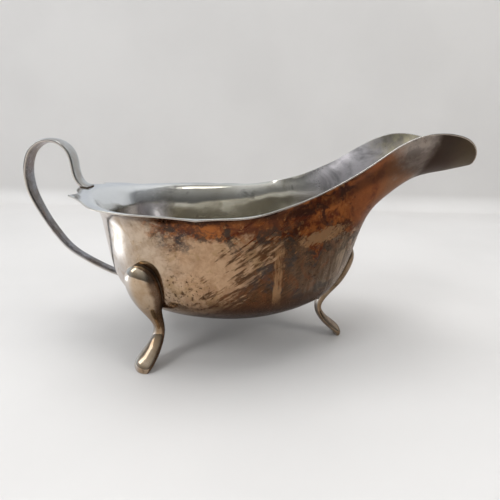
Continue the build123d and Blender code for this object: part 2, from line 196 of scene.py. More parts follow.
def surface_grid(u, v):
    """Outer surface of the bowl at stations u (0..20, closed) and rings v."""
    u = np.mod(u, 20.0)
    back = u > 10
    folded = np.where(back, 20 - u, u)
    rings = []
    for ring in RINGS:
        ring = np.array(ring, float)
        rings.append(closed_spline(np.vstack([ring, (ring[1:-1] * [1, -1, 1])[::-1]]), folded))
    rings.append(rim_points(folded))
    rings = np.array(rings)
    surface = open_spline(rings, np.arange(len(rings)), v)
    surface[..., 1] *= np.where(back, -1, 1)
    return surface


def grid_normals(surface):
    du = np.roll(surface, -1, 1) - np.roll(surface, 1, 1)
    dv = np.gradient(surface, axis=0)
    n = np.cross(dv, du)
    return n / np.linalg.norm(n, axis=-1, keepdims=True)


NU = 480
U = np.arange(NU) * 20.0 / NU
V = np.linspace(0, len(RINGS), 151)
OUT = surface_grid(U, V)
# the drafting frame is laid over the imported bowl: same middle in x, same table plane
bowl_low, bowl_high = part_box("bowl")
X_MID = (OUT[..., 0].min() + OUT[..., 0].max()) / 2 - 1000 * (bowl_low[0] + bowl_high[0]) / 2
OUT[..., 0] -= X_MID
NRM = grid_normals(OUT)

# ---------------------------------------------------------------- helpers
def wave(points, seed, size, count=14):
    """Smooth seeded noise in -1..1 from a few sine waves, size in mm."""
    rng = np.random.RandomState(seed)
    total = np.zeros(points.shape[:-1])
    for _ in range(count):
        k = rng.normal(size=3)
        k *= rng.uniform(0.6, 1.7) * 2 * np.pi / size / np.linalg.norm(k)
        total += np.sin(points @ k + rng.uniform(0, 2 * np.pi))
    return total / math.sqrt(count)


def mesh_from(name, vertices, faces, attributes=None):
    mesh = bpy.data.meshes.new(name)
    mesh.from_pydata([tuple(p) for p in (np.asarray(vertices) * MM).tolist()], [], faces)
    mesh.update()
    for key, values in (attributes or {}).items():
        layer = mesh.attributes.new(key, "FLOAT", "POINT")
        layer.data.foreach_set("value", np.asarray(values, np.float32).ravel())
    mesh.shade_smooth()
    piece = bpy.data.objects.new(name, mesh)
    bpy.context.scene.collection.objects.link(piece)
    return piece


def grid_faces(rows, cols, closed=True, start=0, flip=False):
    faces = []
    for i in range(rows - 1):
        for j in range(cols if closed else cols - 1):
            k = (j + 1) % cols
            quad = (start + i * cols + j, start + i * cols + k, start + (i + 1) * cols + k, start + (i + 1) * cols + j)
            faces.append(quad[::-1] if flip else quad)
    return faces


def fan(ring_start, cols, centre, flip=False):
    return [((centre, ring_start + (j + 1) % cols, ring_start + j) if not flip
             else (centre, ring_start + j, ring_start + (j + 1) % cols)) for j in range(cols)]


# ---------------------------------------------------------------- bowl
wobble = 0.10 * wave(OUT, 11, 42.0) + 0.030 * wave(OUT, 12, 15.0)
fade = smooth01((OUT[..., 2] - 17.0) / 5.0) * smooth01((len(RINGS) - V[:, None]) / 1.2)
OUTER = OUT + NRM * (wobble * fade)[..., None]
OUTER[0] = OUT[0]
thin = smooth01((V - (len(RINGS) - 1.8)) / 1.8)
SHEET = WALL - (WALL - RIM_WALL) * thin
INNER = OUTER - SHEET[:, None, None] * NRM
INNER[0, :, 2] = OUTER[0, :, 2] + WALL

side = OUTER[-1] - OUTER[-3]
side -= NRM[-1] * (side * NRM[-1]).sum(-1, keepdims=True)
side /= np.linalg.norm(side, axis=-1, keepdims=True)
middle = (OUTER[-1] + INNER[-1]) / 2
rim_rows = []
for angle in np.linspace(0, np.pi, 9)[1:-1]:
    rim_rows.append(middle + NRM[-1] * math.cos(angle) * RIM_WALL / 2 + side * math.sin(angle) * RIM_WALL * 0.42)
rim_rows = np.array(rim_rows)

floor_scale = np.linspace(1, 0, 13)[1:-1]
base_mid = OUTER[0].mean(0)
in_mid = INNER[0].mean(0)
under_rows = np.array([base_mid + (OUTER[0] - base_mid) * s for s in floor_scale[::-1]])
inner_rows = np.array([in_mid + (INNER[0] - in_mid) * s for s in floor_scale])

stack = np.concatenate([under_rows, OUTER, rim_rows, INNER[::-1], inner_rows], 0)
n_under, n_out, n_rim = len(under_rows), len(OUTER), len(rim_rows)
rows = len(stack)
vertices = np.concatenate([stack.reshape(-1, 3), [base_mid, in_mid]])
faces = grid_faces(rows, NU, flip=False)
faces += fan(0, NU, rows * NU) + fan((rows - 1) * NU, NU, rows * NU + 1, flip=True)
folded = np.minimum(U, 20 - U)
station = np.concatenate([np.tile(folded, rows), [0, 0]])
level = np.concatenate([np.zeros(n_under), V / len(RINGS), np.ones(n_rim), V[::-1] / len(RINGS), np.zeros(len(inner_rows))])
inside = np.concatenate([np.zeros(n_under + n_out), np.linspace(0, 1, n_rim + 2)[1:-1], np.ones(n_out + len(inner_rows))])
# distance from the rim edge along each column, in mm
run_out = np.cumsum(np.linalg.norm(np.diff(OUTER[::-1], axis=0), axis=-1), axis=0)
run_out = np.concatenate([np.zeros((1, NU)), run_out])[::-1]
far = np.full((n_under, NU), 60.0)
edge = np.concatenate([far, run_out, np.zeros((n_rim, NU)), run_out[::-1], np.full((len(inner_rows), NU), 60.0)])
bowl = mesh_from("bowl_sheet", vertices, faces, {
    "station": station,
    "level": np.concatenate([np.repeat(level, NU), [0, 0]]),
    "inside": np.concatenate([np.repeat(inside, NU), [0, 1]]),
    "edge_mm": np.concatenate([edge.ravel(), [60, 60]]),
})
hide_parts("bowl")
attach(bowl, "root")

# the outer skin and the top of the flange, for seating the soldered pieces
skin = BVHTree.FromPolygons([Vector(p) for p in OUTER.reshape(-1, 3)], grid_faces(len(OUTER), NU, flip=False))
OUT_FLAT, NRM_FLAT = OUTER.reshape(-1, 3), NRM.reshape(-1, 3)
SHEET_FLAT = np.repeat(SHEET, NU)
tree = KDTree(len(OUT_FLAT))
for index, p in enumerate(OUT_FLAT):
    tree.insert(p, index)
tree.balance()


def sheet_near(points):
    """Sheet thickness at the skin point nearest to each of points."""
    return np.array([SHEET_FLAT[tree.find(p)[1]] for p in points])


def height_over(points):
    """Signed distance of points from the outer skin, and the nearest skin points and outward normals."""
    gap = np.zeros(len(points))
    near = np.zeros((len(points), 3))
    out = np.zeros((len(points), 3))
    for i, p in enumerate(points):
        _, index, _ = tree.find(p)
        n = NRM_FLAT[index]
        hit = skin.find_nearest(Vector(p))
        q = np.array(hit[0])
        near[i], out[i] = q, n
        gap[i] = float((p - q) @ n)
    return gap, near, out


# ---------------------------------------------------------------- legs
def leg_grid(place, rows=120, sides=72):
    (fx, fy), splay, lean, inset, flip = place
    z = np.array(LEG_Z)
    table = np.stack([np.array(LEG_R) + inset * np.clip(z / 38, 0, 1), z, np.array(LEG_T), np.array(LEG_W)], 1)
    q = open_spline(table, np.arange(len(z)), np.linspace(0, len(z) - 1, rows))
    along = np.gradient(q[:, :2], axis=0)
    along /= np.linalg.norm(along, axis=1, keepdims=True)
    across = np.stack([-along[:, 1], along[:, 0]], 1)
    blend = np.clip((q[:, 1] - 0.3) / 3.0, 0, 1)[:, None]
    blend = blend * blend * (3 - 2 * blend)
    across = across * blend + np.array([1.0, 0.0]) * (1 - blend) * np.sign(across[-rows // 4:, :1]).mean()
    across /= np.linalg.norm(across, axis=1, keepdims=True)
    a = np.linspace(0, 2 * np.pi, sides + 1)[:-1]
    r = q[:, None, 0] + across[:, None, 0] * np.cos(a) * q[:, None, 2]
    height = q[:, None, 1] + across[:, None, 1] * np.cos(a) * q[:, None, 2]
    across_side = np.sin(a) * q[:, None, 3] + lean * height / 38
    splay = math.radians(splay)
    d = np.array([-math.sin(splay), -math.cos(splay)])
    t = np.array([-d[1], d[0]])
    out = np.stack([fx + r * d[0] + across_side * t[0] - X_MID, fy + r * d[1] + across_side * t[1], height], -1)
    out[..., 2] = np.maximum(out[..., 2], 0.0)
    out[-1, :, 2] = 0.0
    if flip:
        out[..., 1] *= -1
    return out


def bead(name, points, gap, faces, radius, seed, level=0.05, sides=10):
    """Solder fillet: a slightly uneven tube along the line where a piece meets the bowl."""
    segments = {}
    for face in faces:
        tri_sets = [face] if len(face) == 3 else [(face[0], face[1], face[2]), (face[0], face[2], face[3])]
        for tri in tri_sets:
            cut = []
            for a, b in ((tri[0], tri[1]), (tri[1], tri[2]), (tri[2], tri[0])):
                ga, gb = gap[a] - level, gap[b] - level
                if (ga < 0) != (gb < 0):
                    cut.append((min(a, b), max(a, b)))
            if len(cut) == 2:
                segments.setdefault(cut[0], []).append(cut[1])
                segments.setdefault(cut[1], []).append(cut[0])
    best = []
    left = set(segments)
    while left:
        start = next(iter(sorted(left)))
        chain, here = [start], start
        left.discard(start)
        while True:
            step = [k for k in segments[here] if k in left]
            if not step:
                break
            here = step[0]
            left.discard(here)
            chain.append(here)
        if len(chain) > len(best):
            best = chain
    line = []
    for a, b in best:
        ga, gb = gap[a] - level, gap[b] - level
        line.append(points[a] + (points[b] - points[a]) * ga / (ga - gb))
    line = np.array(line)
    step = np.linalg.norm(np.diff(np.vstack([line, line[:1]]), axis=0), axis=1)
    where = np.concatenate([[0], np.cumsum(step)])
    count = max(48, int(where[-1] / 0.45))
    at = np.linspace(0, where[-1], count, endpoint=False)
    loop = np.vstack([line, line[:1]])
    line = np.stack([np.interp(at, where, loop[:, k]) for k in range(3)], 1)
    for _ in range(6):
        line = 0.5 * line + 0.25 * (np.roll(line, 1, 0) + np.roll(line, -1, 0))
    _, near, out = height_over(line)
    tangent = np.roll(line, -1, 0) - np.roll(line, 1, 0)
    tangent /= np.linalg.norm(tangent, axis=1, keepdims=True)
    sideways = np.cross(tangent, out)
    sideways /= np.linalg.norm(sideways, axis=1, keepdims=True)
    up = np.cross(sideways, tangent)
    swell = radius * (1 + 0.22 * wave(line, seed, 5.0) + 0.10 * wave(line, seed + 1, 1.8))
    angle = np.linspace(0, 2 * np.pi, sides + 1)[:-1]
    tube = (line[:, None] + sideways[:, None] * (np.cos(angle) * 1.25)[None, :, None] * swell[:, None, None]
            + up[:, None] * (np.sin(angle) * 0.72)[None, :, None] * swell[:, None, None])
    faces = []
    rows = len(tube)
    for i in range(rows):
        for j in range(sides):
            a, b = i * sides + j, i * sides + (j + 1) % sides
            c, d = ((i + 1) % rows) * sides + (j + 1) % sides, ((i + 1) % rows) * sides + j
            faces.append((a, b, c, d))
    return mesh_from(name, tube.reshape(-1, 3), faces)


for node, place in LEG_SET.items():
    grid = leg_grid(place)
    points = grid.reshape(-1, 3).copy()
    rows, cols = grid.shape[:2]
    upper = points[:, 2] > 12
    gap = np.full(len(points), 9.0)
    near = points.copy()
    out = np.zeros_like(points)
    gap[upper], near[upper], out[upper] = height_over(points[upper])
    faces = grid_faces(rows, cols, flip=True)
    top, foot = len(points), len(points) + 1
    points = np.vstack([points, grid[0].mean(0), grid[-1].mean(0)])
    g_top, n_top, o_top = height_over(points[top:top + 1])
    gap = np.concatenate([gap, g_top, [9.0]])
    near = np.vstack([near, n_top, points[-1:]])
    out = np.vstack([out, o_top, [[0, 0, 0]]])
    faces += fan(0, cols, top, flip=True) + fan((rows - 1) * cols, cols, foot)
    solder = bead(node.replace("leg", "solder_leg_bead"), points, gap, faces, 0.42, 31 + len(node))
    sunk = gap < -0.35
    seated = points.copy()
    seated[sunk] = near[sunk] - 0.35 * out[sunk]
    piece = mesh_from(node + "_casting", seated, faces, {"contact_mm": np.clip(gap, -1, 9)})
    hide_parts(node)
    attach(piece, "root")
    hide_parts(node.replace("leg", "solder_leg"))
    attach(solder, "root")

# ---------------------------------------------------------------- handle
def strap_grid(width, thick, rows=420, sides=48):
    line = np.array(HANDLE_LINE)
    p = open_spline(line, np.arange(len(line)), np.linspace(0, len(line) - 1, rows))
    along = np.gradient(p, axis=0)
    along /= np.linalg.norm(along, axis=1, keepdims=True)
    across = np.stack([-along[:, 1], along[:, 0]], 1)
    run = np.concatenate([[0], np.cumsum(np.linalg.norm(np.diff(p, axis=0), axis=1))])
    a = np.linspace(0, 2 * np.pi, sides + 1)[:-1]
    wide = np.sign(np.cos(a)) * np.abs(np.cos(a)) ** 0.75 * width / 2
    deep = np.sign(np.sin(a)) * np.abs(np.sin(a)) ** 0.75 * thick / 2
    out = np.zeros((rows, sides, 3))
    out[..., 0] = p[:, None, 0] + across[:, None, 0] * deep - X_MID
    slim = 1 - HANDLE_TAPER * smooth01((np.linspace(0, 1, rows) - 0.50) / 0.35)
    out[..., 1] = wide * slim[:, None]
    out[..., 2] = p[:, None, 1] + across[:, None, 1] * deep
    inner_face = np.tile(deep / (thick / 2), rows)
    return out, inner_face, np.repeat(run, sides)


grid, face_side, run = strap_grid(HANDLE_W, HANDLE_T)
rows, cols = grid.shape[:2]
points = grid.reshape(-1, 3).copy()
points += np.stack([0.05 * wave(points, 51, 18.0)] * 3, 1) * [1, 0.6, 1]
points = np.vstack([points, grid[0].mean(0), grid[-1].mean(0)])
faces = grid_faces(rows, cols) + fan(0, cols, len(points) - 2) + fan((rows - 1) * cols, cols, len(points) - 1, flip=True)
gap, near, out = height_over(points)
low_end = (points[:, 2] < 40)
top_end = (points[:, 2] > 58) & (points[:, 0] > -75 - X_MID)
# at the wall the strap stops inside the sheet; on the flange it rests on the upper side of the sheet
lower_gap = np.where(low_end, gap, 9.0)
sheet_here = sheet_near(points)
upper_gap = np.where(top_end, -gap - sheet_here, 9.0)
bead_low = bead("solder_handle_lower_bead", points, lower_gap, faces, 0.40, 71)
bead_top = bead("solder_handle_upper_bead", points, upper_gap, faces, 0.36, 75)
seated = points.copy()
sunk = low_end & (gap < -0.35)
seated[sunk] = near[sunk] - 0.35 * out[sunk]
sunk = top_end & (upper_gap < -0.3)
seated[sunk] = near[sunk] - (sheet_here[sunk] - 0.25)[:, None] * out[sunk]
handle = mesh_from("handle_strap", seated, faces, {
    "face_side": np.concatenate([face_side, [0, 0]]), "run_mm": np.concatenate([run, [0, run[-1]]]),
    "contact_mm": np.clip(np.minimum(np.abs(lower_gap), np.abs(upper_gap)), -1, 9)})
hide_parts("handle")
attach(handle, "root")
for piece, node in ((bead_low, "solder_handle_lower"), (bead_top, "solder_handle_upper")):
    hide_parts(node)
    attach(piece, "root")

# ---------------------------------------------------------------- shader building
class Graph:
    """Small helper around a node tree."""

    def __init__(self, name):
        self.material = bpy.data.materials.new(name)
        self.material.use_nodes = True
        self.tree = self.material.node_tree
        self.tree.nodes.clear()
        self.out = self.tree.nodes.new("ShaderNodeOutputMaterial")

    def put(self, value, socket):
        if value is None:
            return
        if isinstance(value, bpy.types.NodeSocket):
            self.tree.links.new(value, socket)
        elif isinstance(value, (tuple, list)) and len(value) == 3 and socket.type == "RGBA":
            socket.default_value = (*value, 1.0)
        else:
            socket.default_value = value

    def attribute(self, name):
        node = self.tree.nodes.new("ShaderNodeAttribute")
        node.attribute_name = name
        return node.outputs["Fac"]

    def position(self):
        """Object coordinates in millimetres."""
        coords = self.tree.nodes.new("ShaderNodeTexCoord")
        return self.vector("SCALE", coords.outputs["Object"], scale=1000.0)

    def facing(self):
        """Components of the surface normal, in scene axes."""
        node = self.tree.nodes.new("ShaderNodeNewGeometry")
        return self.axes(node.outputs["Normal"])

    def vector(self, op, a, b=None, scale=None):
        node = self.tree.nodes.new("ShaderNodeVectorMath")
        node.operation = op
        self.put(a, node.inputs[0])
        if b is not None:
            self.put(b, node.inputs[1])
        if scale is not None:
            self.put(scale, node.inputs["Scale"])
        return node.outputs["Value" if op in ("DOT_PRODUCT", "LENGTH") else "Vector"]

    def math(self, op, a, b=None, c=None, clamp=False):
        node = self.tree.nodes.new("ShaderNodeMath")
        node.operation = op
        node.use_clamp = clamp
        for value, socket in zip((a, b, c), node.inputs):
            self.put(value, socket)
        return node.outputs[0]

    def add(self, a, b):
        return self.math("ADD", a, b)

    def sub(self, a, b):
        return self.math("SUBTRACT", a, b)

    def mul(self, a, b):
        return self.math("MULTIPLY", a, b)

    def step(self, x, low, high, out_low=0.0, out_high=1.0):
        """Smooth map of x from low..high to out_low..out_high."""
        node = self.tree.nodes.new("ShaderNodeMapRange")
        node.interpolation_type = "SMOOTHSTEP"
        self.put(x, node.inputs["Value"])
        for value, key in ((low, "From Min"), (high, "From Max"), (out_low, "To Min"), (out_high, "To Max")):
            self.put(value, node.inputs[key])
        return node.outputs[0]

    def noise(self, vector, scale, detail=4.0, rough=0.55, distortion=0.0, kind="FBM"):
        node = self.tree.nodes.new("ShaderNodeTexNoise")
        node.noise_type = kind
        self.put(vector, node.inputs["Vector"])
        self.put(scale, node.inputs["Scale"])
        self.put(detail, node.inputs["Detail"])
        self.put(rough, node.inputs["Roughness"])
        self.put(distortion, node.inputs["Distortion"])
        return node.outputs["Fac"]

    def cells(self, vector, scale, feature="F1", randomness=1.0):
        node = self.tree.nodes.new("ShaderNodeTexVoronoi")
        node.feature = feature
        self.put(vector, node.inputs["Vector"])
        self.put(scale, node.inputs["Scale"])
        self.put(randomness, node.inputs["Randomness"])
        return node.outputs["Distance"]

    def axes(self, vector):
        node = self.tree.nodes.new("ShaderNodeSeparateXYZ")
        self.put(vector, node.inputs[0])
        return node.outputs

    def combine(self, x, y, z):
        node = self.tree.nodes.new("ShaderNodeCombineXYZ")
        for value, socket in zip((x, y, z), node.inputs):
            self.put(value, socket)
        return node.outputs[0]

    def mix(self, factor, a, b, kind="MIX"):
        node = self.tree.nodes.new("ShaderNodeMix")
        node.data_type = "RGBA"
        node.blend_type = kind
        self.put(factor, node.inputs[0])
        self.put(a, node.inputs[6])
        self.put(b, node.inputs[7])
        return node.outputs[2]

    def blend(self, factor, a, b):
        node = self.tree.nodes.new("ShaderNodeMix")
        node.data_type = "FLOAT"
        self.put(factor, node.inputs[0])
        self.put(a, node.inputs[2])
        self.put(b, node.inputs[3])
        return node.outputs[0]

    def bump(self, height, distance, strength=1.0, normal=None):
        node = self.tree.nodes.new("ShaderNodeBump")
        self.put(height, node.inputs["Height"])
        self.put(distance, node.inputs["Distance"])
        self.put(strength, node.inputs["Strength"])
        if normal is not None:
            self.put(normal, node.inputs["Normal"])
        return node.outputs[0]

    def metal(self, color, roughness, normal=None, metallic=1.0, coat=0.0, coat_roughness=0.2, anisotropic=0.0, rim=None):
        node = self.tree.nodes.new("ShaderNodeBsdfPrincipled")
        self.put(color, node.inputs["Base Color"])
        self.put(roughness, node.inputs["Roughness"])
        self.put(metallic, node.inputs["Metallic"])
        self.put(coat, node.inputs["Coat Weight"])
        self.put(coat_roughness, node.inputs["Coat Roughness"])
        self.put(anisotropic, node.inputs["Anisotropic"])
        self.put(rim, node.inputs["Specular Tint"])
        if normal is not None:
            self.put(normal, node.inputs["Normal"])
        return node.outputs[0]

    def finish(self, shader):
        self.tree.links.new(shader, self.out.inputs["Surface"])
        return self.material


def srgb(r, g, b):
    def one(c):
        c /= 255.0
        return c / 12.92 if c <= 0.04045 else ((c + 0.055) / 1.055) ** 2.4
    return (one(r), one(g), one(b))


# ---------------------------------------------------------------- tarnished silver sheet
def tarnished_sheet():
    g = Graph("tarnished_silver_sheet")
    p = g.position()
    x, y, z = g.axes(p)[0], g.axes(p)[1], g.axes(p)[2]
    level = g.attribute("level")
    inside, edge = g.attribute("inside"), g.attribute("edge_mm")

    big = g.noise(p, 0.030, 3, 0.5)
    mid = g.noise(p, 0.085, 5, 0.6, 0.4)
    small = g.noise(p, 0.22, 6, 0.65, 0.3)
    fine = g.noise(p, 0.60, 6, 0.68)
    grain = g.noise(p, 1.7, 5, 0.7)

    def about(field, amount):
        return g.mul(g.sub(field, 0.5), amount)

    # brush strokes that rise towards the spout
    tilt = math.radians(36)
    along = g.add(g.mul(x, math.cos(tilt)), g.mul(z, math.sin(tilt)))
    across = g.sub(g.mul(z, math.cos(tilt)), g.mul(x, math.sin(tilt)))
    streak = g.noise(g.combine(g.mul(along, 0.10), g.mul(y, 0.20), g.mul(across, 0.50)), 1.0, 7, 0.68, 0.25)
    streak_fine = g.noise(g.combine(g.mul(along, 0.30), g.mul(y, 0.8), g.mul(across, 1.9)), 1.0, 6, 0.66)
    smear = g.noise(g.combine(g.mul(x, 0.55), g.mul(y, 0.4), g.mul(z, 0.06)), 1.0, 6, 0.62, 0.15)

    # clean silver, warmer towards the middle
    champagne = g.mix(g.step(small, 0.36, 0.66), srgb(208, 192, 172), srgb(178, 160, 138))
    champagne = g.mix(g.step(g.add(x, about(mid, 12)), -50, -36), srgb(222, 221, 220), champagne)
    tan = g.mix(g.step(small, 0.36, 0.64), srgb(214, 183, 150), srgb(184, 151, 120))
    color = g.mix(g.step(g.add(x, about(mid, 26)), -36, -12), champagne, tan)
    # faint yellow clouds on the clean part
    cloud = g.step(g.noise(p, 0.12, 6, 0.70, 1.0), 0.52, 0.60)
    color = g.mix(g.mul(cloud, 0.42), color, srgb(164, 136, 92))

    # brown film over the front half: its edge runs diagonally and is frayed by the strokes
    edge_of_film = g.math("DIVIDE", g.add(g.sub(x, g.mul(z, 0.62)), 27), 15.0)
    film_at = g.add(edge_of_film, g.add(about(streak, 6.6), g.add(about(big, 2.4), about(streak_fine, 2.6))))
    film = g.step(film_at, -0.25, 0.45)
    brown = g.mix(g.step(streak_fine, 0.36, 0.64), srgb(60, 44, 33), srgb(116, 86, 62))
    olive = g.mix(g.step(smear, 0.36, 0.64), srgb(112, 101, 90), srgb(164, 153, 140))
    dark = g.mix(g.step(g.add(x, about(big, 40)), 14, 38), brown, olive)
    dark = g.mix(g.mul(g.step(g.noise(p, 0.10, 5, 0.62, 0.6), 0.54, 0.66), 0.6), dark, srgb(104, 66, 40))
    color = g.mix(g.mul(film, 0.94), color, dark)
    # blue-grey bloom where the film is thickest
    bloom = g.mul(g.step(g.noise(p, 0.085, 6, 0.70, 0.9), 0.52, 0.60), g.step(g.add(x, about(mid, 20)), -2, 12))
    color = g.mix(g.mul(bloom, 0.66), color, srgb(74, 78, 82))
    glow = g.mul(g.step(g.noise(p, 0.11, 6, 0.70, 1.2), 0.52, 0.62), g.mul(film, 0.36))
    color = g.mix(glow, color, srgb(150, 96, 62))
    # front of the body: grey-green vertical smears
    front = g.mul(g.step(g.add(x, about(mid, 14)), 30, 40), g.step(z, 62, 52))
    color = g.mix(g.mul(front, g.step(smear, 0.42, 0.60)), color, srgb(200, 184, 162))
    color = g.mix(g.mul(front, g.step(smear, 0.50, 0.38)), color, srgb(126, 112, 94))

    # rust-brown band under the flare, with a ragged lower edge
    band_at = g.add(g.add(level, about(mid, 0.34)), g.add(about(streak, 0.30), about(fine, 0.16)))
    band_low = g.step(x, -20, 30, 0.700, 0.580)
    band = g.mul(g.step(g.sub(band_at, band_low), -0.035, 0.055), g.step(g.add(x, about(small, 20)), -36, -26))
    rust = g.mix(g.step(small, 0.40, 0.60), srgb(104, 50, 30), srgb(182, 112, 60))
    rust = g.mix(g.mul(g.step(g.noise(p, 0.13, 6, 0.66, 0.8), 0.49, 0.57), 0.88), rust, srgb(58, 34, 32))
    rust = g.mix(g.mul(g.mul(g.step(x, -6, 4), g.step(x, 26, 16)), 0.5), rust, srgb(82, 42, 30))
    rust = g.mix(g.mul(g.step(fine, 0.56, 0.66), 0.65), rust, srgb(190, 140, 92))
    color = g.mix(g.mul(band, 0.92), color, rust)
    # slate patches along the lower edge of the band
    fringe = g.mul(g.mul(g.step(g.sub(band_at, band_low), -0.10, 0.0), g.step(g.sub(band_at, band_low), 0.16, 0.05)), g.step(g.add(x, about(small, 20)), -36, -26))
    slate = g.mul(fringe, g.step(g.noise(p, 0.15, 6, 0.70, 0.7), 0.50, 0.56))
    color = g.mix(g.mul(slate, 0.80), color, srgb(78, 72, 66))

    # spout: orange-brown throat; along the lip a painted pale grey highlight, then dark olive with a greener tip
    spout = g.mul(g.step(g.add(x, about(mid, 14)), 34, 46), g.step(z, 50, 60))
    orange = g.mix(g.step(small, 0.38, 0.64), srgb(186, 116, 70), srgb(134, 84, 60))
    orange = g.mix(g.step(g.add(x, about(mid, 12)), 46, 56), orange, srgb(170, 130, 102))
    orange = g.mix(g.step(g.add(x, about(mid, 8)), 42, 36), orange, srgb(128, 70, 44))
    color = g.mix(g.mul(spout, 0.86), color, orange)
    # painted highlight: pale grey band along the spout lip, darker towards the tip
    lip_highlight = g.step(g.add(g.add(x, g.mul(g.sub(z, 74), 0.55)), g.add(about(mid, 20), about(streak, 12))), 54, 67)
    lip_highlight_and_tip_tone = g.mix(g.step(small, 0.40, 0.62), srgb(158, 156, 154), srgb(196, 192, 188))
    tip = g.step(g.add(x, about(mid, 12)), 72, 84)
    lip_highlight_and_tip_tone = g.mix(g.step(g.add(x, about(mid, 8)), 65, 70), lip_highlight_and_tip_tone, srgb(64, 60, 57))
    lip_highlight_and_tip_tone = g.mix(g.mul(tip, 0.5), lip_highlight_and_tip_tone, srgb(104, 92, 60))
    color = g.mix(g.mul(lip_highlight, 0.93), color, lip_highlight_and_tip_tone)

    # rubbed-through scrapes: one tall streak and one patch beside it
    near = g.step(y, -4, -16)
    tall = g.step(g.math("ABSOLUTE", g.sub(g.add(x, about(small, 5)), 12.6)), 2.0, 1.0)
    tall = g.mul(g.mul(tall, g.step(g.add(z, about(small, 16)), 24, 30)), g.step(g.add(z, about(small, 8)), 53, 48))
    tall = g.mul(g.mul(tall, near), g.step(smear, 0.40, 0.50))
    dx = g.math("DIVIDE", g.sub(x, 28.5), 8.5)
    dz = g.math("DIVIDE", g.sub(g.sub(z, 53.6), g.mul(g.sub(x, 28.5), 0.24)), 2.4)
    patch = g.add(g.mul(dx, dx), g.mul(dz, dz))
    patch = g.mul(g.step(g.add(patch, g.add(about(fine, 3.6), about(streak_fine, 5.0))), 1.15, 0.80), near)
    wiped = g.mul(g.mul(g.step(streak, 0.61, 0.65), 0.6), g.mul(g.step(x, -6, 6), g.step(x, 26, 16)))
    scrape = g.math("MAXIMUM", g.math("MAXIMUM", tall, patch), g.mul(wiped, g.step(z, 58, 50)))
    color = g.mix(g.mul(scrape, 0.82), color, g.mix(small, srgb(206, 168, 128), srgb(168, 132, 98)))

    dx = g.math("DIVIDE", g.add(x, 23), 8.0)
    dz = g.math("DIVIDE", g.sub(z, 52.5), 4.6)
    bruise = g.add(g.mul(dx, dx), g.add(g.mul(dz, dz), g.add(about(fine, 4.5), about(small, 3.5))))
    bruise = g.mul(g.step(bruise, 0.95, 0.45), near)
    color = g.mix(g.mul(bruise, g.step(fine, 0.40, 0.56, 0.25, 0.72)), color, g.mix(g.step(small, 0.42, 0.58), srgb(66, 66, 70), srgb(104, 66, 44)))

    # pits and specks, densest low on the near side
    dx = g.math("DIVIDE", g.add(x, 20), 10.0)
    dz = g.math("DIVIDE", g.sub(z, 33), 8.5)
    cluster = g.mul(g.step(g.add(g.mul(dx, dx), g.mul(dz, dz)), 1.5, 0.3), near)
    pit_area = g.math("MAXIMUM", g.mul(g.step(g.noise(p, 0.055, 3, 0.5), 0.52, 0.64), 0.6), cluster)
    blot = g.noise(p, 0.85, 3, 0.55, 0.6)
    dots = g.step(g.add(g.cells(p, 0.78), about(fine, 0.35)), 0.20, 0.10)
    pits = g.mul(g.math("MAXIMUM", g.step(blot, 0.585, 0.63), g.mul(dots, 0.9)), pit_area)
    specks = g.mul(g.step(g.cells(p, 1.25), 0.20, 0.11), g.step(g.noise(p, 0.10, 4, 0.6), 0.54, 0.66))
    specks = g.math("MAXIMUM", pits, specks)
    halo = g.mul(g.step(blot, 0.50, 0.60), pit_area)
    color = g.mix(g.mul(halo, 0.35), color, srgb(128, 96, 62))
    color = g.mix(g.mul(specks, 0.72), color, srgb(64, 46, 36))

    # painted shade: darker under the flare, round the base and low on the front half of the body
    fold_shade = g.mul(g.step(level, 0.80, 0.86), g.step(level, 0.965, 0.90))
    base_shade = g.step(g.add(z, about(small, 5)), 23.2, 19.6)
    low_front_shade = g.mul(g.step(g.add(z, about(mid, 8)), 35, 26), g.step(g.add(x, about(mid, 14)), -22, -6))
    # painted shade: dark brown under the flare, low on the front and round the base
    color = g.mix(g.mul(fold_shade, 0.55), color, srgb(64, 42, 32))
    color = g.mix(g.mul(low_front_shade, 0.80), color, srgb(88, 58, 40))
    color = g.mix(g.mul(base_shade, 0.82), color, srgb(62, 44, 34))

    # fine mottling over everything
    value = g.add(0.82, g.add(g.mul(grain, 0.20), g.mul(fine, 0.16)))
    color = g.mix(1.0, color, g.combine(value, value, value), "MULTIPLY")

    rough_out = g.add(g.blend(film, 0.12, 0.25), about(fine, 0.18))
    rough_out = g.add(rough_out, g.add(g.mul(band, 0.08), g.mul(specks, 0.30)))
    rough_out = g.add(rough_out, g.mul(lip_highlight, 0.04))

    # inside: cooler and brighter, with thin olive stains; the spout is duller
    lining = g.mix(g.step(big, 0.38, 0.64), srgb(230, 226, 216), srgb(206, 200, 186))
    stain = g.step(g.noise(p, 0.055, 5, 0.6, 0.7), 0.50, 0.68)
    lining = g.mix(g.mul(stain, 0.62), lining, srgb(152, 142, 120))
    haze = g.step(g.noise(p, 0.10, 5, 0.65, 0.5), 0.56, 0.70)
    lining = g.mix(g.mul(haze, 0.50), lining, srgb(112, 104, 100))
    # painted highlight: the rear of the lining is painted near-white
    lining = g.mix(g.mul(g.step(x, -34, -50), 0.8), lining, srgb(246, 246, 246))
    spout_in = g.step(g.add(x, about(mid, 16)), 18, 40)
    dull = g.mix(g.step(g.noise(p, 0.09, 5, 0.62, 0.6), 0.44, 0.64), srgb(196, 190, 194), srgb(130, 126, 130))
    lining = g.mix(g.mul(spout_in, 0.85), lining, dull)
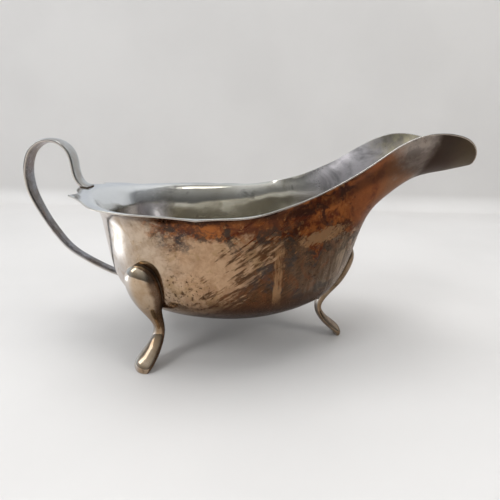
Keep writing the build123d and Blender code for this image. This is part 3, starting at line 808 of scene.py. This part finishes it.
    # painted reflection: the flange's inner top, towards the rear, is painted the backdrop's pale blue-grey
    flange_reflection = g.step(level, 0.86, 0.93)
    lining = g.mix(g.mul(flange_reflection, g.step(x, 20, -30, 0.0, 0.6)), lining, srgb(208, 210, 216))
    yellow = g.mul(g.step(g.add(x, about(mid, 18)), 52, 66), 0.75)
    lining = g.mix(yellow, lining, g.mix(g.step(small, 0.4, 0.6), srgb(168, 158, 120), srgb(126, 118, 96)))
    lining = g.mix(g.mul(g.step(g.cells(p, 1.1), 0.20, 0.10), 0.35), lining, srgb(90, 84, 76))
    scuff = g.noise(g.combine(g.mul(x, 0.25), g.mul(y, 1.6), g.mul(z, 1.6)), 1.0, 5, 0.6)
    rough_in = g.add(g.blend(spout_in, 0.11, 0.30), g.add(g.mul(stain, 0.10), about(scuff, 0.10)))

    color = g.mix(inside, color, lining)
    rough = g.blend(inside, rough_out, rough_in)
    # bright worn rim
    worn = g.step(g.add(edge, about(fine, 0.5)), 0.42, 0.05)
    color = g.mix(g.mul(worn, 0.85), color, srgb(226, 222, 214))
    rough = g.blend(g.mul(worn, 0.7), rough, 0.16)
    rough = g.math("MAXIMUM", rough, 0.07)

    # surface detail: film edges, pits, hairline scratches, planishing wobble
    hair = g.noise(g.combine(g.mul(along, 0.35), g.mul(y, 1.2), g.mul(across, 7.0)), 1.0, 3, 0.6)
    hair2 = g.noise(g.combine(g.mul(x, 5.0), g.mul(y, 5.0), g.mul(z, 0.4)), 1.0, 3, 0.6)
    out_film = g.mul(g.sub(1.0, inside), g.math("MAXIMUM", film, band))
    relief = g.add(g.mul(specks, -0.9), g.mul(out_film, g.mul(fine, 0.35)))
    relief = g.add(relief, g.mul(g.sub(1.0, inside), g.mul(scrape, -0.3)))
    relief = g.add(relief, g.add(g.mul(hair, 0.16), g.mul(hair2, 0.10)))
    normal = g.bump(relief, 0.00003, 1.0)
    normal = g.bump(g.noise(p, 0.055, 2, 0.5), 0.0016, 0.16, normal)
    return g.finish(g.metal(color, rough, normal))


def cast_silver(name, warm=0.5):
    g = Graph(name)
    p = g.position()
    z = g.axes(p)[2]
    contact = g.attribute("contact_mm")
    mid = g.noise(p, 0.14, 5, 0.6, 0.4)
    fine = g.noise(p, 0.8, 5, 0.6)
    color = g.mix(g.step(mid, 0.38, 0.66), srgb(210, 192, 168), srgb(192, 168, 138))
    amber = g.mul(g.step(g.noise(p, 0.10, 4, 0.6, 0.6), 0.50, 0.66), warm)
    color = g.mix(amber, color, srgb(176, 148, 108))
    bloom = g.mul(g.step(g.noise(p, 0.21, 5, 0.62, 0.8), 0.60, 0.70), 0.55)
    color = g.mix(bloom, color, srgb(96, 80, 68))
    # painted shade and highlight: on the rear legs, right-facing sides are painted dark brown and left-facing sides
    # near-white, for the dark and bright surroundings they mirror
    side = g.facing()[0]
    at_rear = g.step(g.axes(p)[0], 10, -10, 0.35, 1.0)
    shade = g.mul(g.step(g.add(side, g.mul(g.sub(mid, 0.5), 0.55)), 0.10, 0.42), at_rear)
    color = g.mix(g.mul(shade, 0.76), color, srgb(98, 70, 52))
    color = g.mix(g.mul(g.step(side, -0.40, -0.72), 0.8), color, srgb(240, 240, 238))
    ankle = g.mul(g.step(g.add(z, g.mul(g.sub(mid, 0.5), 5)), 15, 10), g.step(g.add(z, g.mul(g.sub(mid, 0.5), 3)), 3.0, 6.0))
    color = g.mix(g.mul(ankle, 0.42), color, srgb(112, 82, 60))
    # painted shade: darker brown where the casting meets the bowl
    near = g.step(g.add(contact, g.mul(g.sub(fine, 0.5), 0.8)), 1.8, 0.3)
    color = g.mix(g.mul(near, 0.75), color, srgb(78, 58, 46))
    specks = g.mul(g.step(g.cells(p, 1.3), 0.20, 0.10), g.step(g.noise(p, 0.15, 3, 0.5), 0.52, 0.62))
    color = g.mix(g.mul(specks, 0.6), color, srgb(72, 54, 42))
    rough = g.add(g.add(g.add(0.10, g.mul(shade, 0.18)), g.mul(bloom, 0.22)), g.add(g.mul(g.sub(fine, 0.5), 0.10), g.mul(near, 0.30)))
    rough = g.math("MAXIMUM", rough, 0.06)
    relief = g.add(g.mul(specks, -0.8), g.mul(fine, 0.2))
    normal = g.bump(relief, 0.00003, 1.0)
    normal = g.bump(g.noise(p, 0.16, 2, 0.5), 0.0008, 0.18, normal)
    # painted shade: the grazing edge reflection is tinted dark at the joint and on the shaded sides
    rim = g.mix(g.math("MAXIMUM", near, g.mul(shade, 0.8)), (1.0, 1.0, 1.0), (0.30, 0.24, 0.20))
    return g.finish(g.metal(color, rough, normal, rim=rim))


def strap_silver():
    g = Graph("strap_silver")
    p = g.position()
    face = g.attribute("face_side")
    run = g.attribute("run_mm")
    contact = g.attribute("contact_mm")
    y = g.axes(p)[1]
    mid = g.noise(p, 0.12, 5, 0.6, 0.4)
    fine = g.noise(p, 0.7, 5, 0.6)
    hair = g.noise(g.combine(g.mul(run, 0.12), g.mul(y, 5.0), g.mul(face, 0.6)), 1.0, 4, 0.6)
    # painted shade: the strap's inner face is painted darker than its outer face, for the shade and dark surroundings
    # it mirrors; the inner face is also rougher
    bright = g.mix(g.step(mid, 0.38, 0.66), srgb(206, 206, 206), srgb(182, 176, 168))
    dull = g.mix(g.step(mid, 0.38, 0.66), srgb(134, 131, 136), srgb(106, 97, 92))
    inner = g.step(g.add(g.mul(face, 1.0), g.mul(g.sub(mid, 0.5), 0.7)), 0.25, 0.75)
    color = g.mix(g.mul(inner, 0.80), bright, dull)
    brown = g.mul(g.step(g.noise(p, 0.085, 5, 0.6, 0.7), 0.52, 0.68), 0.5)
    color = g.mix(brown, color, srgb(128, 104, 88))
    near = g.step(g.add(contact, g.mul(g.sub(fine, 0.5), 0.8)), 1.2, 0.1)
    color = g.mix(g.mul(near, 0.5), color, srgb(92, 78, 66))
    # edges are worn bright
    worn = g.mul(g.step(g.math("ABSOLUTE", y), 2.9, 3.6), 0.8)
    color = g.mix(worn, color, srgb(220, 216, 210))
    rough = g.add(g.blend(inner, 0.15, 0.26), g.add(g.mul(g.sub(fine, 0.5), 0.12), g.mul(g.sub(hair, 0.5), 0.10)))
    rough = g.math("MAXIMUM", rough, 0.07)
    relief = g.add(g.mul(hair, 0.3), g.mul(fine, 0.15))
    normal = g.bump(relief, 0.00003, 1.0)
    normal = g.bump(g.noise(p, 0.13, 2, 0.5), 0.0007, 0.2, normal)
    return g.finish(g.metal(color, rough, normal))


def solder_silver():
    g = Graph("silver_solder")
    p = g.position()
    mid = g.noise(p, 0.5, 5, 0.6, 0.4)
    fine = g.noise(p, 2.2, 4, 0.6)
    # painted shade: the solder is painted dark brown so the joints read as shaded; the edge tint darkens its grazing
    # reflections too
    color = g.mix(g.step(mid, 0.40, 0.64), srgb(106, 92, 78), srgb(72, 58, 47))
    color = g.mix(g.mul(g.step(fine, 0.55, 0.68), 0.6), color, srgb(70, 54, 44))
    rough = g.add(0.38, g.mul(g.sub(fine, 0.5), 0.3))
    normal = g.bump(g.add(mid, g.mul(fine, 0.4)), 0.00018, 1.0)
    return g.finish(g.metal(color, rough, normal, rim=(0.30, 0.24, 0.20)))


sheet = tarnished_sheet()
cast = cast_silver("cast_silver")
strap = strap_silver()
solder_mat = solder_silver()
bowl.data.materials.append(sheet)
handle.data.materials.append(strap)
for piece in bpy.data.objects:
    if piece.type != "MESH" or piece in (bowl, handle):
        continue
    if piece.name.endswith("_casting"):
        piece.data.materials.append(cast)
    elif "_bead" in piece.name:
        piece.data.materials.append(solder_mat)

# ---------------------------------------------------------------- floor, wall and light
def studio_floor():
    """Pale and plain to the eye; what the silver mirrors of it falls off to the right and is brightest at the left."""
    g = Graph("pale_floor")
    p = g.position()
    x, y, z = g.axes(p)[0], g.axes(p)[1], g.axes(p)[2]
    tone = g.mix(g.step(g.noise(p, 0.01, 4, 0.5), 0.3, 0.7), srgb(214, 212, 210), srgb(209, 207, 205))
    # painted reflection: for glossy rays only, the floor is darker to the right and takes the backdrop's pale
    # blue-grey where the cove rises
    across = g.step(x, -210, 150, 0.0, 1.0)
    mirrored = g.mix(across, srgb(202, 195, 190), srgb(152, 142, 134))
    mirrored = g.mix(g.step(z, 6, 30), mirrored, srgb(208, 212, 216))
    path = g.tree.nodes.new("ShaderNodeLightPath")
    glossy = path.outputs["Is Glossy Ray"]
    color = g.mix(glossy, tone, mirrored)
    # painted glare: a patch of floor at the left glows for glossy rays only, standing for window light on a table
    glare = g.mul(g.mul(g.step(x, -118, -158), g.step(y, -38, 4)), g.mul(g.step(y, 66, 30), g.step(z, 60, 20)))
    shader = g.tree.nodes.new("ShaderNodeBsdfPrincipled")
    g.put(color, shader.inputs["Base Color"])
    g.put(0.5, shader.inputs["Roughness"])
    g.put((0.93, 0.97, 1.0), shader.inputs["Emission Color"])
    g.put(g.mul(g.mul(glare, glossy), 1.25), shader.inputs["Emission Strength"])
    return g.finish(shader.outputs[0])


floor_mat = studio_floor()
# floor that sweeps up into a backdrop, 0.26 m behind the object
reach, back, radius, tall = 1.6, 0.30, 0.02, 1.4
profile = [(-1.2, 0.0), (back, 0.0)]
for a in np.linspace(0, math.pi / 2, 13)[1:]:
    profile.append((back + radius * math.sin(a), radius * (1 - math.cos(a))))
profile.append((back + radius, tall))
cove_vertices, cove_faces = [], []
for yy, zz in profile:
    cove_vertices += [(-reach, yy, zz), (reach, yy, zz)]
for i in range(len(profile) - 1):
    cove_faces.append((2 * i, 2 * i + 1, 2 * i + 3, 2 * i + 2))
cove_mesh = bpy.data.meshes.new("cove")
cove_mesh.from_pydata(cove_vertices, [], cove_faces)
cove_mesh.materials.append(floor_mat)
cove_mesh.shade_smooth()
cove = bpy.data.objects.new("cove", cove_mesh)
bpy.context.scene.collection.objects.link(cove)


def area(name, place, target, size, power, tone=(1, 1, 1), shape="RECTANGLE"):
    data = bpy.data.lights.new(name, "AREA")
    data.shape = shape
    data.size, data.size_y = size
    data.energy = power
    data.color = tone
    lamp = bpy.data.objects.new(name, data)
    lamp.location = place
    lamp.rotation_euler = (Vector(target) - Vector(place)).to_track_quat("-Z", "Y").to_euler()
    bpy.context.scene.collection.objects.link(lamp)
    return lamp


target = (0.0, 0.0, 0.05)
window = area("window", (-0.60, -0.62, 0.60), target, (0.26, 0.80), 4.2, (0.96, 0.98, 1.0))
softbox = area("softbox", (-0.85, -0.10, 0.62), target, (0.30, 0.60), 1.1, (0.97, 0.98, 1.0))
ceiling = area("ceiling", (0.06, -0.16, 1.0), target, (0.34, 0.22), 0.62, (1.0, 1.0, 1.0))
window.visible_glossy = False
overhead = area("overhead", (0.05, 0.10, 1.05), target, (1.0, 0.8), 8.0, (1.0, 1.0, 1.0))
fill = area("fill", (0.75, -0.35, 0.55), target, (0.35, 0.5), 2.0, (1.0, 0.97, 0.93))
overhead.visible_glossy = False
fill.visible_glossy = False

# soft room around the set: bright above and to the left, darker behind the camera and to the right
world = bpy.data.worlds.new("studio")
bpy.context.scene.world = world
world.use_nodes = True
tree = world.node_tree
tree.nodes.clear()


def world_node(kind, **values):
    node = tree.nodes.new(kind)
    for key, value in values.items():
        setattr(node, key, value)
    return node


def world_range(source, low, high, out_low, out_high):
    node = world_node("ShaderNodeMapRange", interpolation_type="SMOOTHSTEP")
    tree.links.new(source, node.inputs["Value"])
    for value, key in ((low, "From Min"), (high, "From Max"), (out_low, "To Min"), (out_high, "To Max")):
        node.inputs[key].default_value = value
    return node.outputs[0]


def world_product(a, b):
    node = world_node("ShaderNodeMath", operation="MULTIPLY")
    tree.links.new(a, node.inputs[0])
    tree.links.new(b, node.inputs[1])
    return node.outputs[0]


coords = world_node("ShaderNodeTexCoord")
split = world_node("ShaderNodeSeparateXYZ")
tree.links.new(coords.outputs["Generated"], split.inputs[0])
height = world_range(split.outputs[2], 0.0, 0.80, 0.20, 0.56)
sideways = world_range(split.outputs[0], -0.9, 0.9, 1.55, 0.55)
toward = world_range(split.outputs[1], -0.9, 0.3, 0.62, 1.1)
shine = world_node("ShaderNodeBackground")
shine.inputs["Color"].default_value = (0.94, 0.97, 1.0, 1.0)
tree.links.new(world_product(world_product(height, sideways), toward), shine.inputs["Strength"])
end = world_node("ShaderNodeOutputWorld")
tree.links.new(shine.outputs[0], end.inputs["Surface"])

# ---------------------------------------------------------------- camera
focal_px, horizon, roll = 400.0, 132.0, math.radians(1.2)
centre_y = 249.5
pitch = math.atan((centre_y - horizon) / focal_px)
forward = Vector((0, math.cos(pitch), -math.sin(pitch)))
up = Vector((0, math.sin(pitch), math.cos(pitch)))
right = Vector((1, 0, 0))
right_r = math.cos(roll) * right + math.sin(roll) * up
up_r = -math.sin(roll) * right + math.cos(roll) * up
camera_data = bpy.data.cameras.new("camera")
camera_data.sensor_width = 36.0
camera_data.lens = focal_px * 36.0 / 500.0
camera_data.clip_start = 0.01
camera_data.clip_end = 20.0
camera_data.shift_y = (centre_y - 250.0) / 500.0
camera = bpy.data.objects.new("camera", camera_data)
matrix = Matrix((right_r, up_r, -forward)).transposed().to_4x4()
matrix.translation = Vector((-X_MID, -166.92, 88.157)) * MM
camera.matrix_world = matrix
bpy.context.scene.collection.objects.link(camera)
bpy.context.scene.camera = camera
bpy.context.scene.view_settings.view_transform = "Standard"
